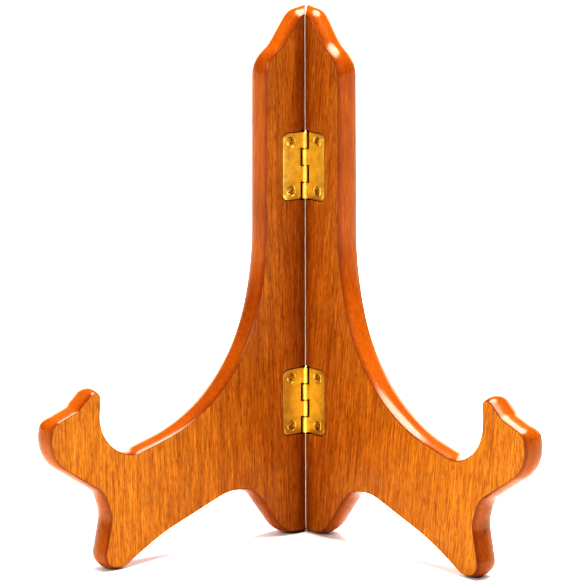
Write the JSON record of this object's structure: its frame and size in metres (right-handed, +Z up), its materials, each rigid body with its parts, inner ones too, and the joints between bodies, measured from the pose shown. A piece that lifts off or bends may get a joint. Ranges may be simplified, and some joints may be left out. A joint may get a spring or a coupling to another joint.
{
  "type": "folding plate stand",
  "caption": "Folding wooden display stand for a plate or small picture: mirror-image hooked boards joined by brass butt hinges, which open like a book.",
  "frame": {"origin": "on the ground, at the middle of the footprint box of the open stand, standing in its use position", "axes": "+Z up along the hinge line, +X across the stand to the right as seen from the front, +Y to the back; the arms reach towards -Y and the hinge line is at the back"},
  "size_m": [0.1834, 0.0888, 0.2025],
  "materials": {
    "varnished_wood": "high-gloss orange-brown varnish over fine straight grain",
    "brass": "lightly brushed, polished edges",
    "brass_pin": "polished",
    "brass_screw": "slightly darkened"
  },
  "bodies": {
    "left_half": {"left_board": "varnished_wood", "upper_left_leaf": "brass", "lower_left_leaf": "brass", "upper_hinge_pin": "brass_pin", "lower_hinge_pin": "brass_pin", "upper_left_top_screw": "brass_screw", "upper_left_bottom_screw": "brass_screw", "lower_left_top_screw": "brass_screw", "lower_left_bottom_screw": "brass_screw"},
    "right_half": {"right_board": "varnished_wood", "upper_right_leaf": "brass", "lower_right_leaf": "brass", "upper_right_top_screw": "brass_screw", "upper_right_bottom_screw": "brass_screw", "lower_right_top_screw": "brass_screw", "lower_right_bottom_screw": "brass_screw"}
  },
  "joints": [
    {"name": "fold", "type": "hinge", "parent": "left_half", "child": "right_half", "pos_m": [0, 0.03208, 0], "axis": [0, 0, 1], "range_deg": [-96, 7]}
  ]
}
